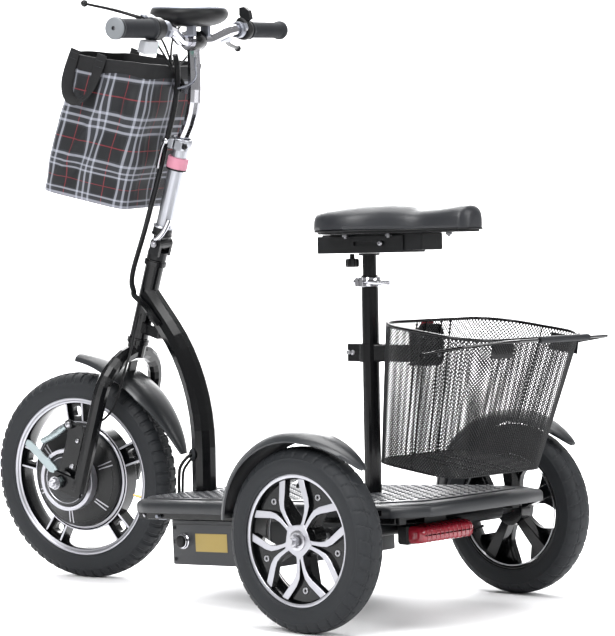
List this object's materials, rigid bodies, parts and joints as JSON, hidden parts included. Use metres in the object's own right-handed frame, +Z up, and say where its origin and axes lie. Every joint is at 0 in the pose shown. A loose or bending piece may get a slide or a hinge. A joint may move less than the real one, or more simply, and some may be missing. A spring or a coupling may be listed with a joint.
{
  "type": "seated electric trike scooter",
  "caption": "Seated electric trike scooter with a steered hub-motor front wheel, folding column, flat deck, sliding saddle on a post, cloth front bag and rear basket.",
  "frame": {"origin": "on the ground under the middle of the scooter's length and width", "axes": "+Z up, -Y the way the scooter travels, +X the rider's left"},
  "size_m": [0.673, 1.3767, 1.1289],
  "materials": {
    "gloss_black": "gloss",
    "satin_black": "satin",
    "case_grey": "satin",
    "black_plastic": "matte",
    "deck_plastic": "satin",
    "mat_rubber": "matte",
    "tyre": "matte",
    "grip_rubber": "matte",
    "chrome": "polished",
    "satin_aluminium": "satin",
    "zinc_plate": "satin",
    "pink_plastic": "satin",
    "red_lens": "gloss",
    "dark_lens": "gloss",
    "plaid_cloth": "matte",
    "saddle_vinyl": "satin",
    "wire_mesh": "satin"
  },
  "bodies": {
    "frame": {"front_frame": "gloss_black", "seat_tube": "gloss_black", "chassis": "satin_black", "deck_shell": "deck_plastic", "deck_mat": "mat_rubber", "battery_case": "case_grey", "rear_axle": "chrome", "rear_fender_left": "black_plastic", "rear_fender_right": "black_plastic", "tail_light_housing": "black_plastic", "tail_light_lens": "red_lens", "seat_clamp": "chrome", "basket_bracket": "black_plastic", "rear_reflector": "red_lens", "rear_basket": "wire_mesh", "harness_tail": "black_plastic"},
    "seat_mast": {"seat_post": "gloss_black", "seat_slider_channel": "satin_black"},
    "saddle_carriage": {"seat_slider": "satin_black", "saddle": "saddle_vinyl"},
    "slider_knob": {"slider_knob": "black_plastic"},
    "seat_lever": {"seat_clamp_lever": "chrome"},
    "charge_cap": {"charge_cap": "black_plastic"},
    "basket_bail": {"basket_handle": "satin_black"},
    "rear_wheel_left": {"rear_tyre_left": "tyre", "rear_rim_left": "satin_aluminium"},
    "rear_wheel_right": {"rear_tyre_right": "tyre", "rear_rim_right": "satin_aluminium"},
    "steering": {"fork": "gloss_black", "front_axle": "chrome", "brake_plate": "gloss_black", "front_fender": "gloss_black", "fold_hinge_lower": "satin_black", "harness_lower": "black_plastic", "brake_cable": "black_plastic"},
    "brake_arm": {"brake_arm": "zinc_plate"},
    "front_wheel": {"front_tyre": "tyre", "front_rim": "satin_aluminium", "hub_motor": "gloss_black", "brake_drum": "satin_aluminium"},
    "column": {"fold_hinge_upper": "satin_black", "column_tube": "satin_aluminium", "column_collar": "pink_plastic", "stem_clamp": "satin_aluminium"},
    "stem_lever": {"stem_clamp_lever": "chrome"},
    "stem_bar": {"stem": "chrome", "handlebar": "chrome", "grip_left": "grip_rubber", "grip_right": "grip_rubber", "perch_left": "satin_aluminium", "perch_right": "satin_aluminium", "switch_pod": "black_plastic", "throttle_housing": "black_plastic", "display_housing": "black_plastic", "display_lens": "dark_lens", "front_bag": "plaid_cloth", "harness_upper": "black_plastic"},
    "brake_lever_left": {"brake_lever_left": "satin_aluminium"},
    "brake_lever_right": {"brake_lever_right": "satin_black"},
    "thumb_throttle": {"thumb_throttle": "black_plastic"}
  },
  "joints": [
    {"name": "steer", "type": "hinge", "parent": "frame", "child": "steering", "pos_m": [0, -0.31915, 0.53793], "axis": [0, 0.3256, 0.9455], "range_deg": [-57, 33]},
    {"name": "front_wheel_spin", "type": "hinge", "parent": "steering", "child": "front_wheel", "pos_m": [0.01038, -0.48475, 0.20659], "axis": [0.978, 0.1971, -0.0679], "continuous": true},
    {"name": "brake_arm_pull", "type": "hinge", "parent": "steering", "child": "brake_arm", "pos_m": [0.09072, -0.49475, 0.22294], "axis": [-0.978, -0.1971, 0.0679], "range_deg": [0, 17], "stiffness_Nm_per_rad": 0.4, "springref_deg": -20.05},
    {"name": "column_fold", "type": "hinge", "parent": "steering", "child": "column", "pos_m": [-0.00083, -0.27052, 0.66714], "axis": [-0.978, -0.1971, 0.0679], "range_deg": [0, 35]},
    {"name": "stem_lever_open", "type": "hinge", "parent": "column", "child": "stem_lever", "pos_m": [0.02642, -0.21909, 0.86307], "axis": [0.2084, -0.9248, 0.3184], "range_deg": [0, 100]},
    {"name": "stem_height", "type": "slide", "parent": "column", "child": "stem_bar", "axis": [0, 0.3256, 0.9455], "range_m": [0, 0.08]},
    {"name": "brake_lever_left_pull", "type": "hinge", "parent": "stem_bar", "child": "brake_lever_left", "pos_m": [0.15567, -0.14785, 1.08333], "axis": [-0.0504, 0.5396, 0.8404], "range_deg": [0, 18], "stiffness_Nm_per_rad": 0.6, "springref_deg": -20.05},
    {"name": "brake_lever_right_pull", "type": "hinge", "parent": "stem_bar", "child": "brake_lever_right", "pos_m": [-0.13719, -0.21067, 1.0714], "axis": [-0.1283, 0.3128, -0.9411], "range_deg": [0, 18], "stiffness_Nm_per_rad": 0.6, "springref_deg": -20.05},
    {"name": "throttle_push", "type": "hinge", "parent": "stem_bar", "child": "thumb_throttle", "pos_m": [-0.1462, -0.17689, 1.08386], "axis": [0.978, 0.1971, -0.0679], "range_deg": [0, 40], "stiffness_Nm_per_rad": 0.2, "springref_deg": -20.05},
    {"name": "rear_wheel_left_spin", "type": "hinge", "parent": "frame", "child": "rear_wheel_left", "pos_m": [0.2959, 0.358, 0.158], "axis": [1, 0, 0], "continuous": true},
    {"name": "rear_wheel_right_spin", "type": "hinge", "parent": "frame", "child": "rear_wheel_right", "pos_m": [-0.2959, 0.358, 0.158], "axis": [1, 0, 0], "continuous": true},
    {"name": "seat_height", "type": "slide", "parent": "frame", "child": "seat_mast", "axis": [0, 0, 1], "range_m": [-0.035, 0.1]},
    {"name": "saddle_position", "type": "slide", "parent": "seat_mast", "child": "saddle_carriage", "axis": [0, 1, 0], "range_m": [-0.045, 0.003]},
    {"name": "slider_knob_turn", "type": "hinge", "parent": "seat_mast", "child": "slider_knob", "pos_m": [0, 0.219, 0.626], "axis": [0, 0, 1], "range_deg": [-180, 180]},
    {"name": "seat_lever_open", "type": "hinge", "parent": "frame", "child": "seat_lever", "pos_m": [0.0275, 0.276, 0.588], "axis": [0, 0, -1], "range_deg": [0, 90]},
    {"name": "charge_cap_flip", "type": "hinge", "parent": "frame", "child": "charge_cap", "pos_m": [0.1798, -0.05384, 0.12894], "axis": [0, -1, 0], "range_deg": [0, 100]},
    {"name": "basket_bail_lift", "type": "hinge", "parent": "frame", "child": "basket_bail", "pos_m": [0, 0.523, 0.466], "axis": [1, 0, 0], "range_deg": [0, 90]}
  ],
  "couplings": [
    {"joint": "brake_arm_pull", "follows": "brake_lever_left_pull", "ratio": 0.9}
  ]
}
